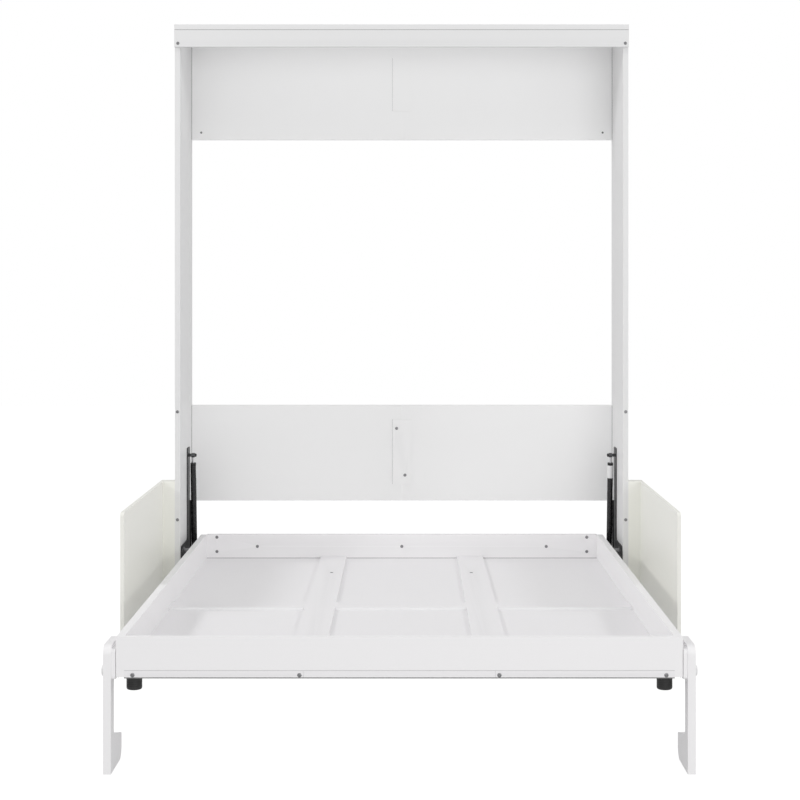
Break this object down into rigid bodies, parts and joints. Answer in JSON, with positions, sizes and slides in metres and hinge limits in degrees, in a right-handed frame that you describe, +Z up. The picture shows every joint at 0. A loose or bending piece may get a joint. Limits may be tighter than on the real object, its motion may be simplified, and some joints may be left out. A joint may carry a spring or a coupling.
{
  "type": "murphy wall bed",
  "caption": "Wall bed: an open cabinet with side wings, and a bed tray that folds up into it on side pivots and gas struts, on swing-out boot-shaped legs at its foot.",
  "frame": {"origin": "on the floor, at the middle of the object's width and length", "axes": "+Z up, +Y towards the wall that the cabinet stands against, +X to the right seen from the foot of the bed"},
  "size_m": [1.828, 2.182, 2.34],
  "materials": {
    "bed_board": "satin white melamine on the bed's boards",
    "panel_board": "satin white melamine, a shade lighter",
    "white_board": "satin white melamine",
    "wing_board": "matt off-white",
    "base_board": "satin white",
    "zinc_steel": "zinc plated",
    "black_steel": "black powder coat",
    "bush_plastic": "matt nylon",
    "chrome_rod": "polished",
    "strut_black": "black gloss",
    "grey_eyelet": "plain",
    "black_plastic": "matt",
    "white_plastic": "satin"
  },
  "bodies": {
    "cabinet": {"upper_rear_panel_left": "panel_board", "upper_rear_panel_right": "panel_board", "lower_rear_panel_left": "panel_board", "lower_rear_panel_right": "panel_board", "lower_joining_cleat": "panel_board", "upper_joining_cleat": "panel_board", "left_upright": "white_board", "right_upright": "white_board", "top_board": "white_board", "top_fascia": "white_board", "bottom_rear_rail": "white_board", "left_wing": "wing_board", "right_wing": "wing_board", "left_wing_foot": "wing_board", "right_wing_foot": "wing_board", "wing_spacers": "wing_board", "cleat_screws": "zinc_steel", "cabinet_screws": "zinc_steel", "plate_screws": "zinc_steel", "pivot_pins": "zinc_steel", "upper_strut_studs": "black_steel", "left_pivot_plate": "black_steel", "right_pivot_plate": "black_steel", "plate_lips": "black_steel", "wing_glides": "black_plastic"},
    "bed": {"left_side_rail": "bed_board", "right_side_rail": "bed_board", "head_board": "bed_board", "foot_board": "bed_board", "base_panel_left": "base_board", "base_panel_middle": "base_board", "base_panel_right": "base_board", "left_long_batten": "base_board", "right_long_batten": "base_board", "cross_battens": "base_board", "base_bolts": "zinc_steel", "head_board_bolts": "zinc_steel", "batten_screws": "zinc_steel", "buffer_feet": "black_plastic", "left_bed_bracket": "black_steel", "right_bed_bracket": "black_steel", "pivot_bushes": "bush_plastic", "lower_strut_studs": "zinc_steel", "leg_washers": "white_plastic", "left_leg_bolt": "white_plastic", "right_leg_bolt": "white_plastic"},
    "left_leg_panel": {"left_leg": "bed_board", "left_leg_packing": "bed_board"},
    "right_leg_panel": {"right_leg": "bed_board", "right_leg_packing": "bed_board"},
    "left_strut_rod_body": {"left_strut_rod": "chrome_rod", "left_rod_eyelet": "grey_eyelet"},
    "left_strut_cylinder_body": {"left_strut_cylinder": "strut_black", "left_strut_gland": "strut_black", "left_strut_socket": "grey_eyelet"},
    "right_strut_rod_body": {"right_strut_rod": "chrome_rod", "right_rod_eyelet": "grey_eyelet"},
    "right_strut_cylinder_body": {"right_strut_cylinder": "strut_black", "right_strut_gland": "strut_black", "right_strut_socket": "grey_eyelet"}
  },
  "joints": [
    {"name": "bed_fold", "type": "hinge", "parent": "cabinet", "child": "bed", "pos_m": [0, 0.79, 0.345], "axis": [-1, 0, 0], "range_deg": [0, 90]},
    {"name": "left_leg_fold", "type": "hinge", "parent": "bed", "child": "left_leg_panel", "pos_m": [-0.811, -1.029, 0.276], "axis": [1, 0, 0], "range_deg": [0, 90]},
    {"name": "left_strut_swing", "type": "hinge", "parent": "cabinet", "child": "left_strut_rod_body", "pos_m": [-0.8135, 0.924, 0.695], "axis": [-1, 0, 0], "range_deg": [0, 24.8]},
    {"name": "left_strut_slide", "type": "slide", "parent": "left_strut_rod_body", "child": "left_strut_cylinder_body", "axis": [0, 0.1212, -0.9926], "range_m": [0, 0.17]},
    {"name": "right_leg_fold", "type": "hinge", "parent": "bed", "child": "right_leg_panel", "pos_m": [0.811, -1.029, 0.276], "axis": [1, 0, 0], "range_deg": [0, 90]},
    {"name": "right_strut_swing", "type": "hinge", "parent": "cabinet", "child": "right_strut_rod_body", "pos_m": [0.8135, 0.924, 0.695], "axis": [-1, 0, 0], "range_deg": [0, 24.8]},
    {"name": "right_strut_slide", "type": "slide", "parent": "right_strut_rod_body", "child": "right_strut_cylinder_body", "axis": [0, 0.1212, -0.9926], "range_m": [0, 0.17]}
  ],
  "couplings": [
    {"joint": "left_strut_swing", "follows": "bed_fold", "ratio": 0.2735},
    {"joint": "left_strut_slide", "follows": "bed_fold", "m_per_rad": 0.10784},
    {"joint": "right_strut_swing", "follows": "bed_fold", "ratio": 0.2735},
    {"joint": "right_strut_slide", "follows": "bed_fold", "m_per_rad": 0.10784}
  ]
}
